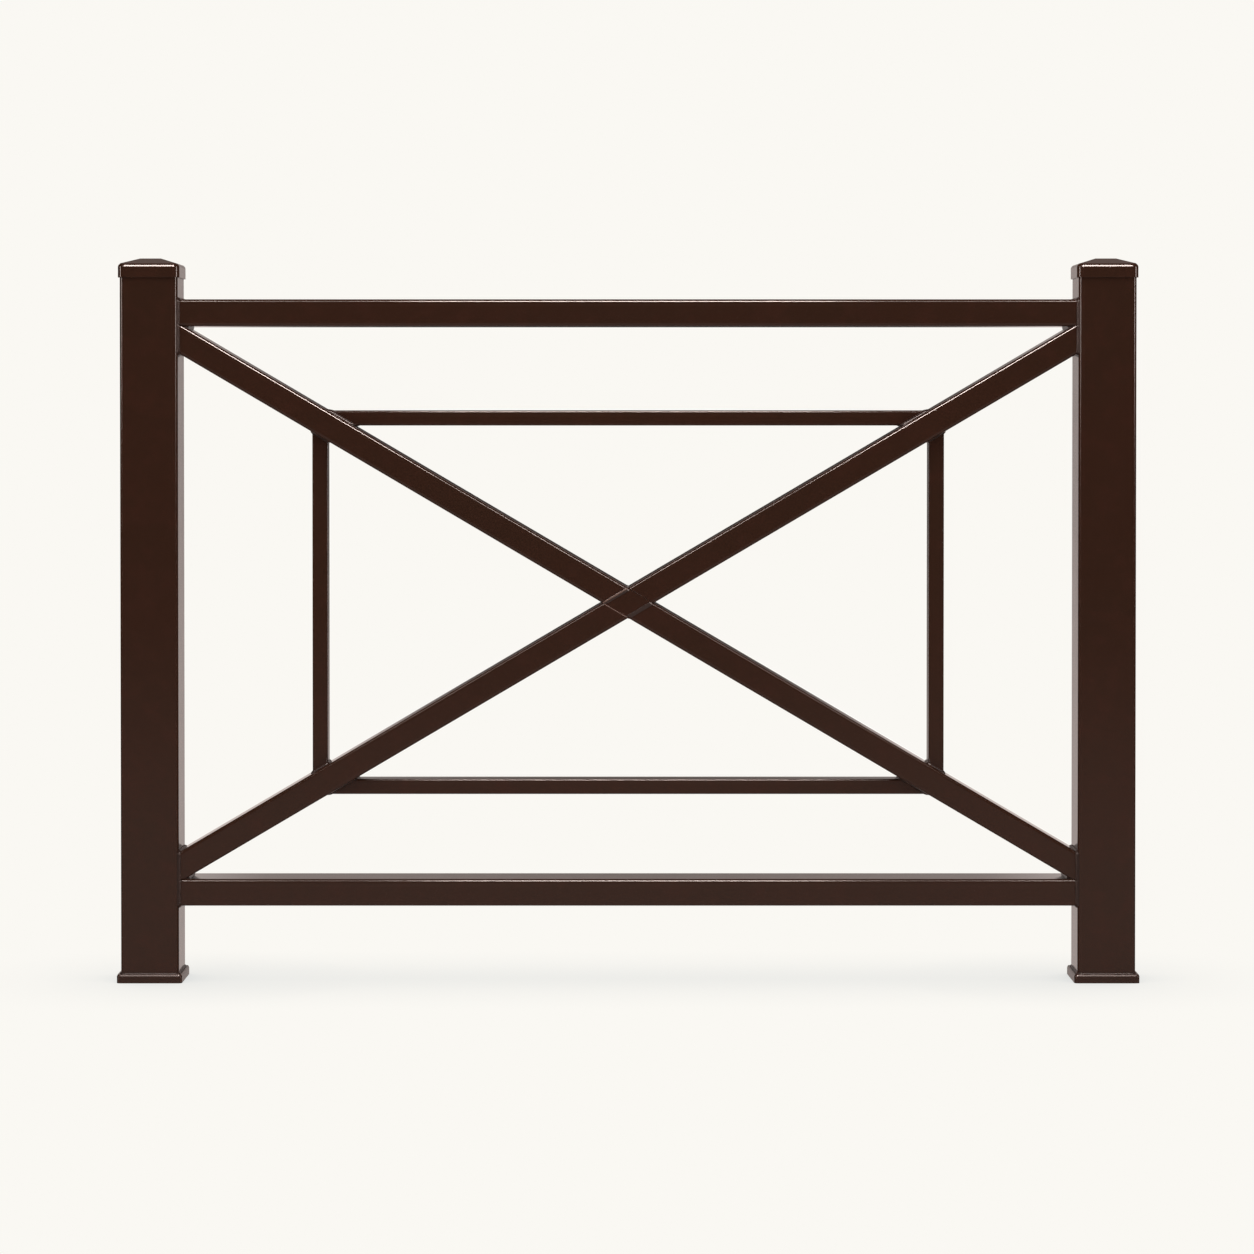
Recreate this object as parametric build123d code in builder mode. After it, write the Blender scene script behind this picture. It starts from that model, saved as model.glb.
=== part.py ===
from build123d import *
import math
import os

# One bay of a welded street barrier: two capped square posts on foot plates, two rails,
# a crossed brace, and an inner rectangle of thinner bars that end on the brace's faces.
# Lengths are in millimetres. Z is up, X runs along the barrier, and the front faces -Y.
# The origin is on the underside of the left foot plate, on the left post's axis.

# Posts, square tube
post_size = 80.0
post_wall = 3.0
post_inside_corner = 4.0
post_spacing = 1321.0
barrier_height = 1000.0

# Foot plates
foot_thickness = 12.0
foot_corner = 5.0
foot_edge = 1.2
foot_edge_drop = 2.6
foot_land = 1.8

# Post caps, slipped over the posts and seated on their ends
cap_wall = 2.2
cap_clearance = 0.3
cap_skirt = 14.8
cap_lip = 2.2
cap_lip_lean = 17.0
cap_edge = 2.0
cap_roof_rise = 8.0
cap_roof_thickness = 3.0
cap_flat = 28.6
cap_seat = 4.5

# Rails and braces, rectangular tube of one depth, wall and corner
rail_height = 37.0
brace_height = 36.0
rail_depth = 70.0
rail_wall = 2.0
rail_inside_corner = 2.0
bottom_rail_gap = 105.5
top_rail_drop = 57.0

# The stretch of each brace end that stands on a rail, beside the post
brace_tip = 8.0

# Inner bars, with their clear distances from the posts and the rails
bar_height = 21.0
bar_depth = 36.0
bar_wall = 1.5
bar_inside_corner = 1.0
bar_post_gap = 183.5
bar_rail_gap = 116.0

# Weld beads
weld_leg = 3.0
bar_weld_leg = 3.0
foot_weld_leg = 2.0
weld_land = 0.4
tip_weld_leg = 7.0
seam_width = 1.5
seam_proud = 0.6

# Worked out from the sizes above
post_corner = post_inside_corner + post_wall
rail_corner = rail_inside_corner + rail_wall
bar_corner = bar_inside_corner + bar_wall
foot_size = post_size + 2 * (foot_weld_leg + foot_land + foot_edge)
cap_size = post_size + 2 * (cap_clearance + cap_wall)
cap_corner = post_corner + cap_clearance + cap_wall
roof_foot = barrier_height - cap_roof_rise
post_top = roof_foot - cap_roof_thickness

opening_left = post_size / 2
opening_right = post_spacing - post_size / 2
opening_bottom = bottom_rail_gap + rail_height
opening_top = barrier_height - top_rail_drop - rail_height
opening_width = opening_right - opening_left
opening_height = opening_top - opening_bottom
middle_x = post_spacing / 2
middle_z = (opening_bottom + opening_top) / 2
middle = Vector(middle_x, 0, middle_z)
reach = opening_width

# A brace's lower edge leaves one rail brace_tip from the post, and its upper edge
# reaches the other rail brace_tip from the other post. That sets the slope.
tip_span = opening_width - 2 * brace_tip
tip_line = math.hypot(tip_span, opening_height)
slope = math.acos(brace_height / tip_line) - math.atan2(tip_span, opening_height)
run = math.cos(slope)
rise = math.sin(slope)

depth_way = (0, 1, 0)
rail_way = Vector(1, 0, 0)
rising_way = Vector(run, 0, rise)
falling_way = Vector(run, 0, -rise)

# Planes across the runs of tube. Their x is the tube's depth.
rising_axis = Plane(middle, x_dir=depth_way, z_dir=rising_way)
falling_axis = Plane(middle, x_dir=depth_way, z_dir=falling_way)
top_rail_middle = Vector(middle_x, 0, opening_top + rail_height / 2)
top_rail_axis = Plane(top_rail_middle, x_dir=depth_way, z_dir=rail_way)
post_base = Plane.XY.offset(foot_thickness)

# The braces' long faces, each plane facing away from its brace
above_rising = Plane(middle, x_dir=depth_way, z_dir=(-rise, 0, run)).offset(brace_height / 2)
above_falling = Plane(middle, x_dir=depth_way, z_dir=(rise, 0, run)).offset(brace_height / 2)
below_falling = Plane(middle, x_dir=depth_way, z_dir=(-rise, 0, -run)).offset(brace_height / 2)

# Inner bars' axes
bar_side = opening_width / 2 - bar_post_gap - bar_height / 2
bar_lift = opening_height / 2 - bar_rail_gap - bar_height / 2
top_bar_axis = Plane(middle + Vector(0, 0, bar_lift), x_dir=depth_way, z_dir=rail_way)
left_bar_axis = Plane(middle - Vector(bar_side, 0, 0), x_dir=depth_way, z_dir=(0, 0, 1))

# A chamfer of this share of a radius touches the rounding from outside
octagon_cut = 2 - math.sqrt(2)

# Mirror planes of the bay
across = Plane.YZ.offset(middle_x)
level = Plane.XY.offset(middle_z)


def eight_sided(plane, depth, height, corner, grow, shift=0.0):
    """An outline of flats that follows a tube's rounded outline at the given distance outside."""
    with BuildSketch(plane) as outline:
        with Locations((0, shift)):
            Rectangle(depth + 2 * grow, height + 2 * grow)
        chamfer(outline.vertices(), length=(corner + grow) * octagon_cut)
    return outline.sketch


def tube_section(plane, depth, height, wall, inside_corner):
    """The metal of a rectangular tube on a plane across it, rounded outside and bevelled inside."""
    with BuildSketch(plane) as section:
        RectangleRounded(depth, height, inside_corner + wall)
    return section.sketch - eight_sided(plane, depth, height, inside_corner + wall, -wall)


def filled_run(plane, depth, height, corner):
    """The space that a long tube takes up, both ways from a plane across it."""
    with BuildPart() as filled:
        with BuildSketch(plane):
            RectangleRounded(depth, height, corner)
        extrude(amount=reach, both=True)
    return filled.part


def weld_collar(face, way, depth, height, corner, leg, backing=0.0):
    """A fillet bead round the end of a tube that leaves a face in a given direction.

    With a backing it also reaches behind the face, to fill round a corner there.
    """
    steepness = way.dot(face.z_dir)
    lean = way.dot(face.y_dir) / steepness
    length = height / steepness
    toe = eight_sided(face, depth, length, corner, leg)
    crown = eight_sided(face.offset(leg), depth, length, corner, weld_land, lean * leg)
    with BuildPart() as collar:
        loft([toe, crown], ruled=True)
        if backing > 0:
            extrude(toe, amount=-backing)
    return collar.part


# Posts, square tube from the foot plate to the cap's seat
post_section = tube_section(post_base, post_size, post_size, post_wall, post_inside_corner)
with BuildPart() as left_post:
    extrude(post_section, amount=post_top - foot_thickness)

with BuildPart() as right_post:
    mirror(left_post.part, about=across)

filled_post = filled_run(Plane.XY, post_size, post_size, post_corner)

# Foot plates, with a steep bevel along the top edge
with BuildPart() as left_foot_plate:
    with BuildSketch():
        RectangleRounded(foot_size, foot_size, foot_corner)
    extrude(amount=foot_thickness)
    foot_top = left_foot_plate.faces().sort_by(Axis.Z)[-1]
    chamfer(foot_top.edges(), length=foot_edge, length2=foot_edge_drop, reference=foot_top)

with BuildPart() as right_foot_plate:
    mirror(left_foot_plate.part, about=across)

# Post caps: a skirt that leans in and then turns over at its top edge, and a low four-sided
# roof with a flat top, hollow over the post's bore
socket_size = post_size + 2 * cap_clearance
lip_inset = cap_lip * math.tan(math.radians(cap_lip_lean))
lip_top = roof_foot - cap_edge
lip_foot = lip_top - cap_lip
roof_size = cap_size - 2 * (lip_inset + cap_edge)
roof_slope = cap_roof_rise / ((roof_size - cap_flat) / 2)
hollow_foot = post_size - 2 * cap_seat
hollow_rise = roof_slope * (hollow_foot - cap_flat) / 2
with BuildPart() as skirt_block:
    with BuildSketch(Plane.XY.offset(lip_foot - cap_skirt)):
        RectangleRounded(cap_size, cap_size, cap_corner)
    extrude(amount=cap_skirt)
    lip_outline = skirt_block.faces().sort_by(Axis.Z)[-1]
    extrude(lip_outline, amount=cap_lip, taper=cap_lip_lean)
    edge_outline = skirt_block.faces().sort_by(Axis.Z)[-1]
    extrude(edge_outline, amount=cap_edge, taper=45)

with BuildPart() as left_post_cap:
    with BuildSketch(Plane.XY.offset(roof_foot)):
        Rectangle(roof_size, roof_size)
    with BuildSketch(Plane.XY.offset(barrier_height)):
        Rectangle(cap_flat, cap_flat)
    loft(ruled=True)
    with BuildSketch(Plane.XY.offset(roof_foot)):
        RectangleRounded(roof_size, roof_size, cap_corner - lip_inset - cap_edge)
    extrude(amount=cap_roof_rise, mode=Mode.INTERSECT)
    add(skirt_block.part)
    with BuildSketch(Plane.XY.offset(post_top)):
        RectangleRounded(socket_size, socket_size, post_corner + cap_clearance)
    extrude(amount=-reach, mode=Mode.SUBTRACT)
    with BuildSketch(Plane.XY.offset(post_top)):
        Rectangle(hollow_foot, hollow_foot)
    with BuildSketch(Plane.XY.offset(post_top + hollow_rise)):
        Rectangle(cap_flat, cap_flat)
    loft(ruled=True, mode=Mode.SUBTRACT)

with BuildPart() as right_post_cap:
    mirror(left_post_cap.part, about=across)

# Rails, square-cut between the posts
rail_section = tube_section(top_rail_axis, rail_depth, rail_height, rail_wall, rail_inside_corner)
with BuildPart() as top_rail:
    extrude(rail_section, amount=opening_width / 2, both=True)

with BuildPart() as bottom_rail:
    mirror(top_rail.part, about=level)

# Crossed brace: the rising one runs through, and the falling one is cut in two against it.
# Each outer end is cut to fit the post's face and the rail's.
rising_section = tube_section(rising_axis, rail_depth, brace_height, rail_wall, rail_inside_corner)
falling_section = tube_section(falling_axis, rail_depth, brace_height, rail_wall, rail_inside_corner)
with BuildPart() as rising_brace:
    extrude(rising_section, amount=reach, both=True)
    with Locations(middle):
        Box(opening_width, 2 * rail_depth, opening_height, mode=Mode.INTERSECT)

with BuildPart() as falling_brace_upper:
    extrude(falling_section, amount=reach, both=True)
    with Locations(middle):
        Box(opening_width, 2 * rail_depth, opening_height, mode=Mode.INTERSECT)
    split(bisect_by=above_rising, keep=Keep.TOP)

with BuildPart() as falling_brace_lower:
    upper_turned = mirror(falling_brace_upper.part, about=across, mode=Mode.PRIVATE)
    mirror(upper_turned, about=level)

# Inner rectangle of thinner bars, each end cut along the face that it lands on
top_bar_section = tube_section(top_bar_axis, bar_depth, bar_height, bar_wall, bar_inside_corner)
left_bar_section = tube_section(left_bar_axis, bar_depth, bar_height, bar_wall, bar_inside_corner)
with BuildPart() as inner_top_bar:
    extrude(top_bar_section, amount=opening_width / 2, both=True)
    split(bisect_by=above_rising, keep=Keep.TOP)
    split(bisect_by=above_falling, keep=Keep.TOP)

with BuildPart() as inner_bottom_bar:
    mirror(inner_top_bar.part, about=level)

with BuildPart() as inner_left_bar:
    extrude(left_bar_section, amount=opening_height / 2, both=True)
    split(bisect_by=above_rising, keep=Keep.TOP)
    split(bisect_by=below_falling, keep=Keep.TOP)

with BuildPart() as inner_right_bar:
    mirror(inner_left_bar.part, about=across)

# Foot welds, round each post on its plate
with BuildPart() as left_foot_weld:
    add(weld_collar(post_base, Vector(0, 0, 1), post_size, post_size, post_corner, foot_weld_leg))
    add(filled_post, mode=Mode.SUBTRACT)

with BuildPart() as right_foot_weld:
    mirror(left_foot_weld.part, about=across)

# Corner welds: one bead round the rail's end, one round the brace's end, and a fill
# where the brace's edge runs out on the rail
rail_end = Plane((opening_left, 0, opening_top + rail_height / 2), x_dir=depth_way, z_dir=rail_way)
brace_end_height = middle_z + math.tan(slope) * opening_width / 2
brace_end = Plane((opening_left, 0, brace_end_height), x_dir=depth_way, z_dir=rail_way)
rail_bead = weld_collar(
    rail_end, rail_way, rail_depth, rail_height, rail_corner, weld_leg, backing=post_corner
)
brace_bead = weld_collar(
    brace_end, falling_way, rail_depth, brace_height, rail_corner, weld_leg, backing=post_corner
)
filled_top_rail = filled_run(top_rail_axis, rail_depth, rail_height, rail_corner)
filled_falling = filled_run(falling_axis, rail_depth, brace_height, rail_corner)
filled_rising = filled_run(rising_axis, rail_depth, brace_height, rail_corner)
tip = Vector(opening_left + brace_tip, 0, opening_top)
with BuildPart() as top_left_weld:
    add(rail_bead)
    add(brace_bead)
    with BuildSketch(Plane((0, 0, 0), x_dir=(1, 0, 0), z_dir=(0, -1, 0))):
        with BuildLine():
            Polyline(
                (tip.X, tip.Z),
                (tip.X + tip_weld_leg, tip.Z),
                (tip.X + tip_weld_leg * run, tip.Z - tip_weld_leg * rise),
                close=True,
            )
        make_face()
    extrude(amount=rail_depth / 2 - rail_corner, both=True)
    add(filled_post, mode=Mode.SUBTRACT)
    add(filled_top_rail, mode=Mode.SUBTRACT)
    add(filled_falling, mode=Mode.SUBTRACT)

with BuildPart() as top_right_weld:
    mirror(top_left_weld.part, about=across)

with BuildPart() as bottom_left_weld:
    mirror(top_left_weld.part, about=level)

with BuildPart() as bottom_right_weld:
    mirror(top_right_weld.part, about=level)

# Crossing welds: a low seam round each half brace, filling in over the through brace's corners
seam_depth = rail_depth + 2 * seam_proud
seam_height = brace_height + 2 * seam_proud
with BuildPart() as upper_crossing_weld:
    with BuildSketch(falling_axis):
        RectangleRounded(seam_depth, seam_height, rail_corner + seam_proud)
    extrude(amount=reach, both=True)
    split(bisect_by=above_rising.offset(-rail_corner), keep=Keep.TOP)
    split(bisect_by=above_rising.offset(seam_width), keep=Keep.BOTTOM)
    add(filled_rising, mode=Mode.SUBTRACT)
    add(filled_falling, mode=Mode.SUBTRACT)

with BuildPart() as lower_crossing_weld:
    seam_turned = mirror(upper_crossing_weld.part, about=across, mode=Mode.PRIVATE)
    mirror(seam_turned, about=level)

# Bar welds, round each end of the inner bars
filled_top_bar = filled_run(top_bar_axis, bar_depth, bar_height, bar_corner)
filled_left_bar = filled_run(left_bar_axis, bar_depth, bar_height, bar_corner)
half_face = brace_height / 2 / run
top_bar_foot = middle + Vector((half_face - bar_lift) * run / rise, 0, bar_lift)
left_bar_head = middle + Vector(-bar_side, 0, bar_side * rise / run - half_face)
top_bar_face = Plane(top_bar_foot, x_dir=depth_way, z_dir=above_falling.z_dir)
left_bar_face = Plane(left_bar_head, x_dir=depth_way, z_dir=below_falling.z_dir)

with BuildPart() as top_bar_left_bead:
    add(weld_collar(top_bar_face, rail_way, bar_depth, bar_height, bar_corner, bar_weld_leg))
    add(filled_top_bar, mode=Mode.SUBTRACT)

with BuildPart() as top_bar_welds:
    add(top_bar_left_bead.part)
    mirror(top_bar_left_bead.part, about=across)

with BuildPart() as bottom_bar_welds:
    mirror(top_bar_welds.part, about=level)

with BuildPart() as left_bar_upper_bead:
    add(weld_collar(left_bar_face, Vector(0, 0, -1), bar_depth, bar_height, bar_corner, bar_weld_leg))
    add(filled_left_bar, mode=Mode.SUBTRACT)

with BuildPart() as left_bar_welds:
    add(left_bar_upper_bead.part)
    mirror(left_bar_upper_bead.part, about=level)

with BuildPart() as right_bar_welds:
    mirror(left_bar_welds.part, about=across)

pieces = {
    "left_post": left_post,
    "right_post": right_post,
    "left_foot_plate": left_foot_plate,
    "right_foot_plate": right_foot_plate,
    "left_post_cap": left_post_cap,
    "right_post_cap": right_post_cap,
    "top_rail": top_rail,
    "bottom_rail": bottom_rail,
    "rising_brace": rising_brace,
    "falling_brace_upper": falling_brace_upper,
    "falling_brace_lower": falling_brace_lower,
    "inner_top_bar": inner_top_bar,
    "inner_bottom_bar": inner_bottom_bar,
    "inner_left_bar": inner_left_bar,
    "inner_right_bar": inner_right_bar,
    "left_foot_weld": left_foot_weld,
    "right_foot_weld": right_foot_weld,
    "top_left_weld": top_left_weld,
    "top_right_weld": top_right_weld,
    "bottom_left_weld": bottom_left_weld,
    "bottom_right_weld": bottom_right_weld,
    "upper_crossing_weld": upper_crossing_weld,
    "lower_crossing_weld": lower_crossing_weld,
    "top_bar_welds": top_bar_welds,
    "bottom_bar_welds": bottom_bar_welds,
    "left_bar_welds": left_bar_welds,
    "right_bar_welds": right_bar_welds,
}

os.makedirs("parts", exist_ok=True)
for name, piece in pieces.items():
    piece.part.label = name
    export_step(piece.part, f"parts/{name}.step")
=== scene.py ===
import math

import bpy
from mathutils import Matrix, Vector


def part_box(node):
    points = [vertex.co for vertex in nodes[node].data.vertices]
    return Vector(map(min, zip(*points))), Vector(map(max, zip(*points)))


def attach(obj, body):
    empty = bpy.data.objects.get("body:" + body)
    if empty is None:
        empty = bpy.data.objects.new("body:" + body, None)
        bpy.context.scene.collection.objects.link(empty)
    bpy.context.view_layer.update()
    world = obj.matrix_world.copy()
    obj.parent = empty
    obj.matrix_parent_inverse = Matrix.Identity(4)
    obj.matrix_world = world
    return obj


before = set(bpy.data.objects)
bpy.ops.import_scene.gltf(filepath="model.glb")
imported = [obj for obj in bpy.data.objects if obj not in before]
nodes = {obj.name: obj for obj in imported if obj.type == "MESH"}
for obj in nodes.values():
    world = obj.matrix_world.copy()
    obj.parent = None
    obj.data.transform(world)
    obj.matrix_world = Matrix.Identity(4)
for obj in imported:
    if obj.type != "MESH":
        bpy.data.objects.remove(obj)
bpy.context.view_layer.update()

# Frame's tubes and weld legs, in metres
POST_CORNER = 0.007
RAIL_CORNER = 0.004
BAR_CORNER = 0.0025
BRACE_TIP = 0.008
BRACE_HEIGHT = 0.036
FOOT_LEG = 0.002
RAIL_LEG = 0.003
BAR_LEG = 0.003

# Weld beads: spacing in metres, then heights as shares of the leg
BEAD_STEP = 0.0007
RIPPLE_PITCH = 0.0034
BEAD_CROWN = 0.16
RIPPLE_RISE = 0.13
BEAD_SINK = 0.1

# Bow of a ripple across the bead, as phase, and the power that broadens its crest
RIPPLE_BOW = 1.6
RIPPLE_POWER = 0.7

# Numbers of points across a bead, and of steps round a tube's corner and along a seam
BEAD_SECTION = 7
CORNER_STEPS = 12
SEAM_STATIONS = 24

# Seams at the crossing: width and height in metres, then their share at the ends and its growth
BROAD_SEAM = (0.003, 0.0009)
MIDDLE_SEAM = (0.0024, 0.0006)
FINE_SEAM = (0.0013, 0.0004)
SEAM_END = 0.2
SEAM_TAPER = 8

# Paint: scales of its patterns, refraction, and the depth of its bumps in metres
BROAD_SCALE = 7.0
PATCH_SCALE = 34.0
WEAR_AND_HIGHLIGHT_SCALE = 120.0
PEEL_SCALE = 420.0
SPECK_SCALE = 900.0
PAINT_IOR = 1.4
BUMP_DEPTH = 0.0001

# Duller paint near the ground: its height and fade in metres, and the roughness that it adds
DUST_HEIGHT = 0.014
DUST_FADE = 0.002
DUST_ROUGHNESS = 0.17

# Colours, as sRGB values from 0 to 255
BROWN = (52, 30, 21)
BROWN_DEEP = (50, 30, 21)
BROWN_WARM = (57, 31, 22)
WELD_BROWN = (44, 25, 18)
# Paler paint on the edges: partly thin worn paint, partly a painted highlight
PALE_EDGE_AND_HIGHLIGHT_BROWN = (84, 60, 50)
# Paler seam paint, a painted highlight on two seams at the crossing
SEAM_HIGHLIGHT_BROWN = (112, 86, 77)
DUST = (120, 104, 92)
BACKGROUND = (250, 248, 243)
SHADOW = (205, 209, 210)

# Half the floor's width, and how far the shadow spreads on it, in metres
FLOOR_REACH = 40.0
SHADOW_REACH = 0.25

# Lamps and room that only reflections show, a little warm
LAMP_TINT = (1.0, 0.84, 0.78)
ROOM_TINT = (1.0, 0.86, 0.81, 1.0)

# Light of each part of that room, and the even light that falls on everything
BACKDROP_LOW = 0.42
BACKDROP_HIGH = 0.74
FRONT_FLOOR_GLOW = 0.4
SIDE_SCREEN_GLOW = 16.0
ROOM_GLOW = 0.03
FILL_TINT = (1.0, 0.99, 0.975, 1)
FILL_GLOW = 0.8

# Photograph's camera: lens and sensor in millimetres, place and range in metres, pitch in degrees
LENS = 103.35
SENSOR_WIDTH = 36.0
CAMERA_RANGE = 200.0
CAMERA_PLACE = (0.6589, -4.9966, 0.778)
CAMERA_PITCH = 0.901
CAMERA_SHIFT = -0.1207


def linear(colour, share=1.0):
    """An sRGB colour as the linear values that a shader takes."""
    values = []
    for channel in colour:
        c = channel / 255
        values.append(share * (c / 12.92 if c <= 0.04045 else ((c + 0.055) / 1.055) ** 2.4))
    return (*values, 1.0)


class Nodes:
    """A shader tree with short calls to add and join its nodes."""

    def __init__(self, tree):
        self.tree = tree
        tree.nodes.clear()

    def add(self, kind, links=None, values=None, **settings):
        made = self.tree.nodes.new(kind)
        for key, value in settings.items():
            setattr(made, key, value)
        for key, value in (values or {}).items():
            made.inputs[key].default_value = value
        for key, source in (links or {}).items():
            self.tree.links.new(source, made.inputs[key])
        return made

    def math(self, operation, a, b=None, clamp=False):
        made = self.add("ShaderNodeMath", operation=operation, use_clamp=clamp)
        for index, value in enumerate((a, b)):
            if value is None:
                continue
            if isinstance(value, (int, float)):
                made.inputs[index].default_value = value
            else:
                self.tree.links.new(value, made.inputs[index])
        return made.outputs[0]

    def noise(self, place, scale, detail=3.0, roughness=0.5):
        made = self.add(
            "ShaderNodeTexNoise",
            links={"Vector": place},
            values={"Scale": scale, "Detail": detail, "Roughness": roughness},
        )
        return made.outputs["Fac"]

    def spread(self, source, low, high, out_low=0.0, out_high=1.0):
        made = self.add(
            "ShaderNodeMapRange",
            links={"Value": source},
            values={"From Min": low, "From Max": high, "To Min": out_low, "To Max": out_high},
        )
        return made.outputs[0]

    def blend(self, factor, first, second):
        """A mix of two colours, each given as a value or as a node's output."""
        made = self.add("ShaderNodeMix", data_type="RGBA", links={0: factor})
        for index, value in ((6, first), (7, second)):
            if isinstance(value, tuple):
                made.inputs[index].default_value = value
            else:
                self.tree.links.new(value, made.inputs[index])
        return made.outputs[2]


def powder_coat(name, base, deep, warm, roughness, peel, edge_reach, edge_share):
    """Satin-gloss powder coat: mottled brown, orange peel, and paler paint on the edges, partly thin worn
    paint and partly a painted highlight.
    """
    material = bpy.data.materials.new(name)
    material.use_nodes = True
    n = Nodes(material.node_tree)
    place = n.add("ShaderNodeTexCoord").outputs["Object"]
    broad = n.noise(place, BROAD_SCALE, 4.0)
    patch = n.noise(place, PATCH_SCALE, 5.0, 0.6)
    speck = n.noise(place, SPECK_SCALE, 2.0)
    peel_noise = n.noise(place, PEEL_SCALE, 2.0, 0.4)
    wear_and_highlight_noise = n.noise(place, WEAR_AND_HIGHLIGHT_SCALE, 6.0, 0.7)

    tone = n.blend(n.spread(broad, 0.35, 0.65), linear(deep), linear(base))
    tone = n.blend(n.spread(patch, 0.48, 0.72, 0.0, 0.6), tone, linear(warm))
    tone = n.blend(n.spread(speck, 0.62, 0.8, 0.0, 0.1), tone, linear(DUST))

    rounded = n.add("ShaderNodeBevel", samples=12, values={"Radius": edge_reach})
    true_normal = n.add("ShaderNodeNewGeometry").outputs["True Normal"]
    turn = n.add(
        "ShaderNodeVectorMath",
        operation="DOT_PRODUCT",
        links={0: rounded.outputs[0], 1: true_normal},
    )
    edge = n.spread(turn.outputs["Value"], 0.995, 0.8)
    # Paler tone along the edges: partly thin worn paint, partly a painted highlight
    worn_and_highlight = n.math("MULTIPLY", edge, n.spread(wear_and_highlight_noise, 0.35, 0.7, 0.25, 1.0))
    worn_and_highlight = n.math("MULTIPLY", worn_and_highlight, edge_share)
    tone = n.blend(worn_and_highlight, tone, linear(PALE_EDGE_AND_HIGHLIGHT_BROWN))

    rough = n.spread(patch, 0.3, 0.7, roughness - 0.01, roughness + 0.02)
    rough = n.math("ADD", rough, n.math("MULTIPLY", worn_and_highlight, 0.05))
    height_above = n.add("ShaderNodeSeparateXYZ", links={0: place}).outputs["Z"]
    dusty = n.spread(height_above, DUST_HEIGHT, DUST_HEIGHT - DUST_FADE, 0.0, DUST_ROUGHNESS)
    rough = n.math("ADD", rough, dusty)
    height = n.math("ADD", n.math("MULTIPLY", peel_noise, peel), n.math("MULTIPLY", patch, peel * 0.6))
    bump = n.add(
        "ShaderNodeBump",
        links={"Height": height, "Normal": rounded.outputs[0]},
        values={"Strength": 1.0, "Distance": BUMP_DEPTH},
    )
    shader = n.add(
        "ShaderNodeBsdfPrincipled",
        links={"Base Color": tone, "Roughness": rough, "Normal": bump.outputs[0]},
        values={"IOR": PAINT_IOR},
    )
    n.add("ShaderNodeOutputMaterial", links={"Surface": shader.outputs[0]})
    return material


def weld_piece(name, vertices, faces, coat):
    """Link a smooth mesh in a coat, riding on the frame."""
    mesh = bpy.data.meshes.new(name)
    mesh.from_pydata([tuple(v) for v in vertices], [], faces)
    mesh.validate()
    mesh.polygons.foreach_set("use_smooth", [True] * len(mesh.polygons))
    piece = bpy.data.objects.new(name, mesh)
    bpy.context.scene.collection.objects.link(piece)
    piece.data.materials.append(coat)
    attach(piece, "root")


def bead_ring(name, base, face, way, depth, height, corner, leg):
    """Lay a rippled weld bead round a tube that leaves a face, the tube's depth along Y."""
    across = Vector((0, 1, 0))
    rise = across.cross(way).normalized()

    outline = []
    straight_a, straight_b = depth / 2 - corner, height / 2 - corner
    for quarter, (sa, sb) in enumerate(((1, 1), (-1, 1), (-1, -1), (1, -1))):
        for step in range(CORNER_STEPS + 1):
            angle = math.radians(90 * (quarter + step / CORNER_STEPS))
            a = sa * straight_a + corner * math.cos(angle)
            b = sb * straight_b + corner * math.sin(angle)
            outline.append((a, b, math.cos(angle), math.sin(angle)))

    def root(a, b):
        """Where the tube's line at a, b meets the face."""
        return base + across * a + rise * b - way * (b * rise.dot(face) / way.dot(face))

    stations = []
    for index, here in enumerate(outline):
        there = outline[(index + 1) % len(outline)]
        start, end = root(*here[:2]), root(*there[:2])
        parts = max(1, round((end - start).length / BEAD_STEP))
        for part in range(parts):
            share = part / parts
            normal = Vector((0, 0, 0))
            for (_, _, na, nb), weight in ((here, 1 - share), (there, share)):
                normal += (across * na + rise * nb) * weight
            stations.append((start.lerp(end, share), normal.normalized()))

    length = sum((stations[i][0] - stations[i - 1][0]).length for i in range(len(stations)))
    ripples = round(length / RIPPLE_PITCH)
    vertices, travelled = [], 0.0
    for index, (point, normal) in enumerate(stations):
        before, after = stations[index - 1][0], stations[(index + 1) % len(stations)][0]
        along = (after - before).normalized()
        on_face = along.cross(face)
        on_face *= 1 if on_face.dot(normal) > 0 else -1
        on_tube = along.cross(normal)
        on_tube *= 1 if on_tube.dot(face) > 0 else -1
        outward = (on_face + on_tube).normalized()
        if index:
            travelled += (point - before).length
        vertices.append(point - outward * leg * BEAD_SINK)
        for step in range(BEAD_SECTION):
            q = step / (BEAD_SECTION - 1)
            phase = ripples * travelled / length - RIPPLE_BOW * q * (1 - q)
            coin = abs(math.sin(math.pi * phase)) ** RIPPLE_POWER
            crown = math.sin(math.pi * q) * (BEAD_CROWN + RIPPLE_RISE * coin) * leg
            vertices.append(point + on_face * leg * (1 - q) + on_tube * leg * q + outward * crown)

    ring = BEAD_SECTION + 1
    faces = []
    for index in range(len(stations)):
        first, second = index * ring, (index + 1) % len(stations) * ring
        for step in range(ring):
            nxt = (step + 1) % ring
            faces.append((first + step, first + nxt, second + nxt, second + step))
    weld_piece(name, vertices, faces, weld_coat)


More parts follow.
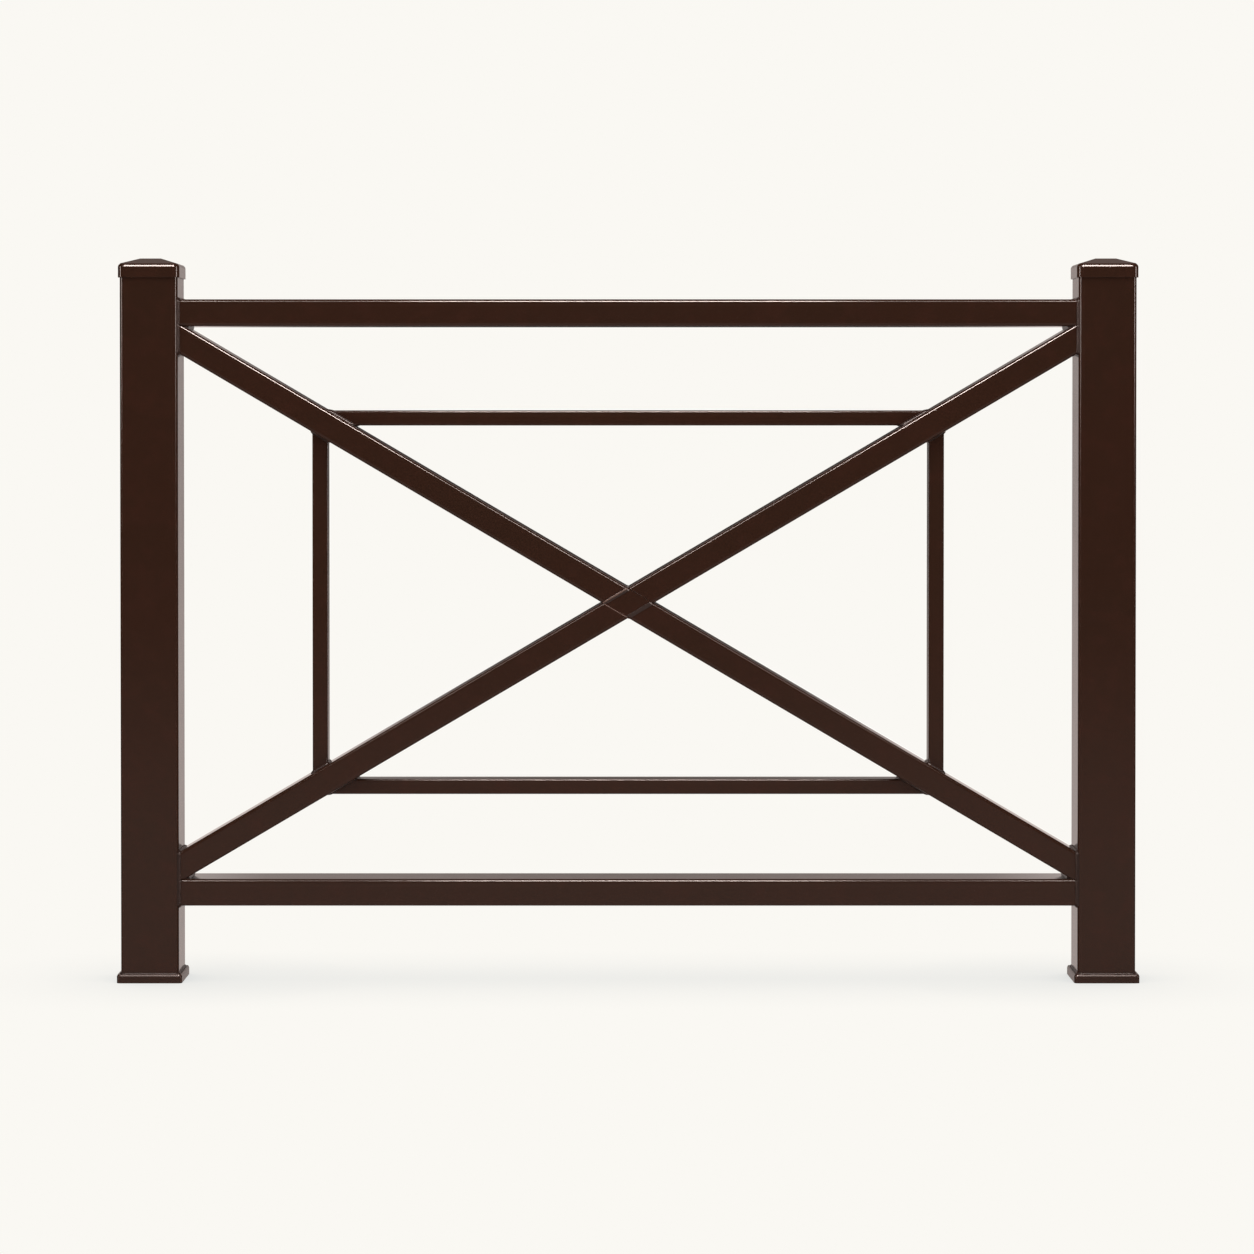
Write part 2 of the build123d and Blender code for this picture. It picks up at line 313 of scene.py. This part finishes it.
def crossing_seam(name, start, end, outward, width, proud, coat):
    """Lay a low rounded seam along a line on the front or back face, tapered to its ends."""
    along = (end - start).normalized()
    sideways = along.cross(outward)
    vertices = []
    for station in range(SEAM_STATIONS + 1):
        share = station / SEAM_STATIONS
        taper = min(1.0, SEAM_END + SEAM_TAPER * share, SEAM_END + SEAM_TAPER * (1 - share))
        for step in range(BEAD_SECTION):
            angle = math.pi * step / (BEAD_SECTION - 1)
            aside = sideways * math.cos(angle) * width / 2 * taper
            vertices.append(start.lerp(end, share) + aside + outward * math.sin(angle) * proud * taper)
    faces = [tuple(range(BEAD_SECTION))]
    for station in range(SEAM_STATIONS):
        first, second = station * BEAD_SECTION, (station + 1) * BEAD_SECTION
        for step in range(BEAD_SECTION):
            nxt = (step + 1) % BEAD_SECTION
            faces.append((first + step, second + step, second + nxt, first + nxt))
    last = SEAM_STATIONS * BEAD_SECTION
    faces.append(tuple(last + step for step in reversed(range(BEAD_SECTION))))
    weld_piece(name, vertices, faces, coat)


# Finishes
browns = (BROWN, BROWN_DEEP, BROWN_WARM)
weld_browns = (WELD_BROWN, WELD_BROWN, BROWN)
seam_highlight_browns = (SEAM_HIGHLIGHT_BROWN, SEAM_HIGHLIGHT_BROWN, PALE_EDGE_AND_HIGHLIGHT_BROWN)
frame_coat = powder_coat("frame_coat", *browns, roughness=0.11, peel=0.12, edge_reach=0.0015, edge_share=0.2)
cap_coat = powder_coat("cap_coat", *browns, roughness=0.11, peel=0.06, edge_reach=0.0009, edge_share=0.25)
weld_coat = powder_coat(
    "weld_coat", *weld_browns, roughness=0.34, peel=0.5, edge_reach=0.0004, edge_share=0.1
)
# Paler paint for two seams at the crossing, a painted highlight
seam_highlight_coat = powder_coat("seam_highlight_coat", *seam_highlight_browns, roughness=0.2, peel=0.2, edge_reach=0.0004, edge_share=0.2)
for name, cad in nodes.items():
    coat = weld_coat if "weld" in name else cap_coat if "cap" in name else frame_coat
    cad.data.materials.clear()
    cad.data.materials.append(coat)

# Sizes and places read from the frame
left_low, left_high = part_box("left_post")
right_low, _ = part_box("right_post")
top_low, top_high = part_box("top_rail")
_, bottom_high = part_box("bottom_rail")
bar_low, bar_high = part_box("inner_top_bar")
side_low, side_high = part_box("inner_left_bar")
post_size = left_high.x - left_low.x
rail_depth = top_high.y - top_low.y
rail_height = top_high.z - top_low.z
bar_depth = bar_high.y - bar_low.y
bar_height = bar_high.z - bar_low.z
opening_left, opening_right = left_high.x, right_low.x
opening_bottom, opening_top = bottom_high.z, top_low.z
opening_width = opening_right - opening_left
opening_height = opening_top - opening_bottom
middle = Vector(((opening_left + opening_right) / 2, 0, (opening_bottom + opening_top) / 2))

# Braces' slope, from the opening, their own height and the flat at each tip
tip_span = opening_width - 2 * BRACE_TIP
slope = math.acos(BRACE_HEIGHT / math.hypot(tip_span, opening_height))
slope -= math.atan2(tip_span, opening_height)
run, rise = math.cos(slope), math.sin(slope)
half_face = BRACE_HEIGHT / 2 / run

# Weld beads, laid over the plain fillets of the frame
for side, x in (("left", 0.0), ("right", right_low.x + post_size / 2)):
    foot = Vector((x, 0, left_low.z))
    up = Vector((0, 0, 1))
    bead_ring(f"{side}_foot_bead", foot, up, up, post_size, post_size, POST_CORNER, FOOT_LEG)

for side, sign in (("left", 1), ("right", -1)):
    inward = Vector((sign, 0, 0))
    x = middle.x - sign * opening_width / 2
    for level, lift in (("top", 1), ("bottom", -1)):
        rail_end = Vector((x, 0, middle.z + lift * (opening_height + rail_height) / 2))
        brace_end = Vector((x, 0, middle.z + lift * opening_width / 2 * rise / run))
        brace_way = Vector((sign * run, 0, -lift * rise))
        rail_sizes = (rail_depth, rail_height, RAIL_CORNER, RAIL_LEG)
        brace_sizes = (rail_depth, BRACE_HEIGHT, RAIL_CORNER, RAIL_LEG)
        bead_ring(f"{level}_{side}_rail_bead", rail_end, inward, inward, *rail_sizes)
        bead_ring(f"{level}_{side}_brace_bead", brace_end, inward, brace_way, *brace_sizes)

bar_lift = (bar_low.z + bar_high.z) / 2 - middle.z
bar_side = middle.x - (side_low.x + side_high.x) / 2
bar_sizes = (bar_depth, bar_height, BAR_CORNER, BAR_LEG)
for side, sign in (("left", -1), ("right", 1)):
    for level, lift in (("top", 1), ("bottom", -1)):
        bar_end = middle + Vector((sign * (bar_lift - half_face) * run / rise, 0, lift * bar_lift))
        above = Vector((-sign * rise, 0, lift * run))
        bead_ring(f"{level}_bar_{side}_bead", bar_end, above, Vector((-sign, 0, 0)), *bar_sizes)
        side_end = middle + Vector((sign * bar_side, 0, lift * (bar_side * rise / run - half_face)))
        bead_ring(f"{side}_bar_{level}_bead", side_end, -above, Vector((0, 0, -lift)), *bar_sizes)

# Seams round the crossing, on the front and the back; the two on the left get paler paint, a painted
# highlight
over, aside = Vector((0, 0, half_face)), Vector((BRACE_HEIGHT / 2 / rise, 0, 0))
for face, sign in (("front", -1), ("back", 1)):
    outward = Vector((0, sign, 0))
    centre = middle + outward * rail_depth / 2
    seams = (
        ("upper_left", centre - aside, centre + over, BROAD_SEAM, seam_highlight_coat),
        ("lower_left", centre - aside, centre - over, FINE_SEAM, seam_highlight_coat),
        ("lower_right", centre - over, centre + aside, MIDDLE_SEAM, frame_coat),
        ("upper_right", centre + over, centre + aside, FINE_SEAM, frame_coat),
    )
    for place, start, end, (width, proud), coat in seams:
        crossing_seam(f"{face}_{place}_seam", start, end, outward, width, proud, coat)

# Floor, pale as the background away from the object
floor_mesh = bpy.data.meshes.new("floor")
floor_signs = ((-1, -1), (1, -1), (1, 1), (-1, 1))
floor_corners = [(x * FLOOR_REACH, y * FLOOR_REACH, 0) for x, y in floor_signs]
floor_mesh.from_pydata(floor_corners, [], [(0, 1, 2, 3)])
floor = bpy.data.objects.new("floor", floor_mesh)
bpy.context.scene.collection.objects.link(floor)
floor_paint = bpy.data.materials.new("floor_paint")
floor_paint.use_nodes = True
n = Nodes(floor_paint.node_tree)
open_sky = n.add("ShaderNodeAmbientOcclusion", samples=16, values={"Distance": SHADOW_REACH})
shaded = n.blend(open_sky.outputs["AO"], linear(SHADOW), linear(BACKGROUND))
view_ray = n.add("ShaderNodeLightPath")
matt = n.add("ShaderNodeBsdfDiffuse", values={"Color": linear(BACKGROUND, 0.85)})
plain = n.add("ShaderNodeEmission", links={"Color": shaded})
clear = n.add("ShaderNodeBsdfTransparent")
looked_at = n.add(
    "ShaderNodeMixShader",
    links={0: view_ray.outputs["Is Camera Ray"], 1: matt.outputs[0], 2: plain.outputs[0]},
)
mixed = n.add(
    "ShaderNodeMixShader",
    links={0: view_ray.outputs["Is Glossy Ray"], 1: looked_at.outputs[0], 2: clear.outputs[0]},
)
n.add("ShaderNodeOutputMaterial", links={"Surface": mixed.outputs[0]})
floor.data.materials.append(floor_paint)

# World: the plain background for the camera, a studio for reflections, an even fill for the rest
world = bpy.data.worlds.new("studio")
bpy.context.scene.world = world
world.use_nodes = True
n = Nodes(world.node_tree)
direction = n.add("ShaderNodeTexCoord").outputs["Generated"]
parts = n.add("ShaderNodeSeparateXYZ", links={0: direction})

# Backdrop behind the object, dimmer in the middle and gone to the sides and overhead
sideways = n.math("ABSOLUTE", parts.outputs["X"])
ahead = n.math("MAXIMUM", parts.outputs["Y"], 0.001)
off_axis = n.math("DIVIDE", sideways, ahead)
behind = n.spread(off_axis, 0.35, 0.75, 1.0, 0.0)
overhead = n.spread(parts.outputs["Z"], 0.3, 0.65, 1.0, 0.0)
dim_middle = n.spread(parts.outputs["Y"], 0.996, 0.9925)
backdrop_level = n.spread(off_axis, 0.1, 0.122, BACKDROP_LOW, BACKDROP_HIGH)
backdrop = n.math("MULTIPLY", n.math("MULTIPLY", behind, overhead), dim_middle)
backdrop = n.math("MULTIPLY", backdrop, backdrop_level)

# Floor in front of the object, and a low bright screen off to each side
front = n.spread(parts.outputs["Y"], 0.0, -0.1)
below = n.spread(parts.outputs["Z"], -0.06, -0.11, 0.0, FRONT_FLOOR_GLOW)
front_floor = n.math("MULTIPLY", front, below)
screen = n.math(
    "MULTIPLY",
    n.spread(parts.outputs["Y"], -0.18, -0.24),
    n.spread(parts.outputs["Y"], -0.42, -0.36),
)
screen_rise = n.math(
    "MULTIPLY",
    n.spread(parts.outputs["Z"], 0.0, 0.02),
    n.spread(parts.outputs["Z"], 0.3, 0.25, 0.0, SIDE_SCREEN_GLOW),
)
side_screens = n.math("MULTIPLY", screen, screen_rise)

room_level = n.math("ADD", n.math("ADD", backdrop, front_floor), ROOM_GLOW)
room_level = n.math("ADD", room_level, side_screens)
view_ray = n.add("ShaderNodeLightPath")
room = n.add("ShaderNodeBackground", links={"Strength": room_level}, values={"Color": ROOM_TINT})
fill = n.add("ShaderNodeBackground", values={"Color": FILL_TINT, "Strength": FILL_GLOW})
plain = n.add("ShaderNodeBackground", values={"Color": linear(BACKGROUND), "Strength": 1.0})
lit = n.add(
    "ShaderNodeMixShader",
    links={0: view_ray.outputs["Is Glossy Ray"], 1: fill.outputs[0], 2: room.outputs[0]},
)
seen = n.add(
    "ShaderNodeMixShader",
    links={0: view_ray.outputs["Is Camera Ray"], 1: lit.outputs[0], 2: plain.outputs[0]},
)
n.add("ShaderNodeOutputWorld", links={"Surface": seen.outputs[0]})


def softbox(name, place, target, width, depth, radiance, tint=None):
    """A rectangular lamp aimed at a point. A tinted one shows in reflections alone, a plain one never."""
    light = bpy.data.lights.new(name, "AREA")
    light.shape = "RECTANGLE"
    light.size, light.size_y = width, depth
    light.energy = radiance * math.pi * width * depth
    lamp = bpy.data.objects.new(name, light)
    lamp.location = place
    lamp.rotation_euler = (Vector(target) - Vector(place)).to_track_quat("-Z", "Y").to_euler()
    lamp.visible_camera = False
    lamp.visible_diffuse = tint is None
    lamp.visible_glossy = tint is not None
    if tint:
        light.color = tint
    bpy.context.scene.collection.objects.link(lamp)


# Lamps: strips in front for the highlights, and one overhead for the soft light
strip_place, strip_target = (middle.x, -2.2, 2.3), (middle.x, 0, 0.55)
softbox("middle_strip", strip_place, strip_target, width=0.9, depth=0.6, radiance=88.0, tint=LAMP_TINT)
softbox("wide_strip", strip_place, strip_target, width=4.0, depth=0.6, radiance=10.0, tint=LAMP_TINT)
for side, x in (("left", middle.x - 1.01), ("right", middle.x + 1.01)):
    cap_place, cap_target = (x, -2.06, 2.47), (x, 0, 0.98)
    softbox(f"{side}_strip", cap_place, cap_target, width=0.35, depth=0.3, radiance=42.0, tint=LAMP_TINT)
softbox("overhead", (0.66, -0.8, 3.4), (0.66, 0, 0.4), width=3.0, depth=2.0, radiance=3.0)

# Camera
camera_data = bpy.data.cameras.new("camera")
camera_data.lens = LENS
camera_data.sensor_width = SENSOR_WIDTH
camera_data.shift_y = CAMERA_SHIFT
camera_data.clip_end = CAMERA_RANGE
camera = bpy.data.objects.new("camera", camera_data)
camera.location = CAMERA_PLACE
camera.rotation_euler = (math.radians(90 - CAMERA_PITCH), 0, 0)
bpy.context.scene.collection.objects.link(camera)
bpy.context.scene.camera = camera
bpy.context.scene.view_settings.view_transform = "Standard"
